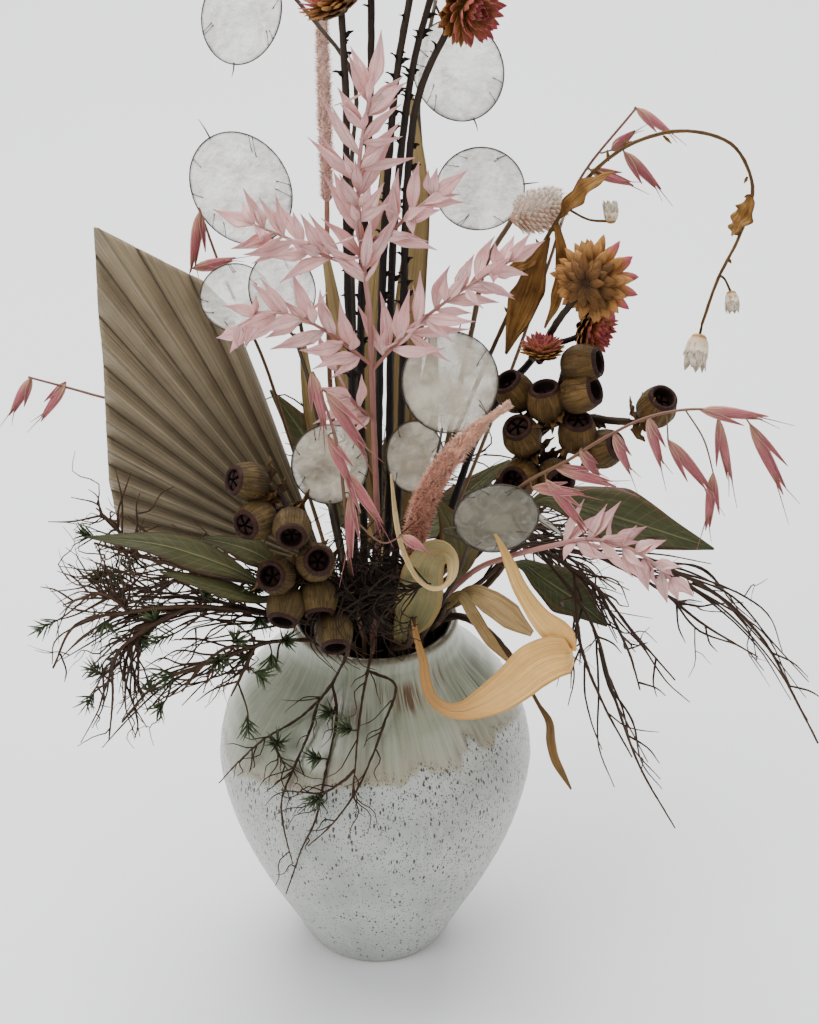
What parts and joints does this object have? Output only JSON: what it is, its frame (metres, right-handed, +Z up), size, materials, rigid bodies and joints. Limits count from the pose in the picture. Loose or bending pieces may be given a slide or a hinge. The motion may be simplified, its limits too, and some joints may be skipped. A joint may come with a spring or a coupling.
{
  "type": "dried flowers in vase",
  "caption": "Round speckled stoneware vase filled with a loose dried bouquet: palm fan, honesty pods, pink ruscus, gum nuts, strawflowers, strap leaves and twiggy heath.",
  "frame": {"origin": "centre of the vase's foot, on the surface it stands on", "axes": "+Z up along the vase's axis, -Y toward the viewer of the picture, +X to that viewer's right"},
  "size_m": [0.3583, 0.1998, 0.4712],
  "materials": {
    "glaze": "satin stoneware glaze, pale grey-white with a sage drip and brown speckle",
    "palm": "dry khaki palm leaf, matte, finely ribbed",
    "pod": "papery pearl-white seed pod skin with a dark rim",
    "ruscus": "bleached pale pink leaf, matte",
    "foxtail": "soft salmon bristles",
    "strawflower": "papery bracts from gold to burgundy on a dark stem",
    "gumnut_olive": "ribbed olive-tan woody nut",
    "gumnut_dark": "ribbed dark brown woody nut",
    "leaf_green": "dry grey-green leaf, matte",
    "leaf_tan": "dry buff strap leaf, matte",
    "leaf_brown": "dry brown narrow leaf, matte",
    "daisy": "dry brown stem and crumpled leaves with pale buds",
    "cone": "downy pinkish white head",
    "oat": "dusky pink husks on hair-thin stalks",
    "twig": "dark brown bark with short dull green needles"
  },
  "bodies": {
    "root": {"vase": "glaze", "palm_fan": "palm", "palm_spear": "palm", "honesty_top": "pod", "honesty_back_left": "pod", "honesty_right_back": "pod", "honesty_left": "pod", "honesty_front": "pod", "honesty_low": "pod", "gumnuts_left": "gumnut_olive", "gumnuts_right": "gumnut_dark", "gum_leaves_left": "leaf_green", "gum_leaf_right": "leaf_green", "gum_leaf_dark": "leaf_green", "gum_leaf_middle": "leaf_green", "gum_leaves_back": "leaf_green", "strap_leaf_curled": "leaf_tan", "strap_leaf_lower": "leaf_tan", "strap_leaf_folded": "leaf_tan", "narrow_leaf": "leaf_brown", "strawflower_a": "strawflower", "strawflower_b": "strawflower", "strawflower_c": "strawflower", "strawflower_d": "strawflower", "strawflower_e": "strawflower", "strawflower_right": "strawflower", "paper_daisy": "daisy", "cone_head": "cone", "foxtail_front": "foxtail", "foxtail_back": "foxtail", "oat_left": "oat", "oat_back_left": "oat", "oat_top_right": "oat", "oat_right": "oat", "oat_middle": "oat", "pink_ruscus": "ruscus", "ruscus_sprig": "ruscus", "heath_left_high": "twig", "heath_left_middle": "twig", "heath_left_low": "twig", "heath_left_back": "twig", "heath_back": "twig", "broom_right_back": "twig", "broom_right": "twig", "heath_front_left": "twig", "heath_front_right": "twig", "twig_tangle": "twig"}
  },
  "joints": []
}
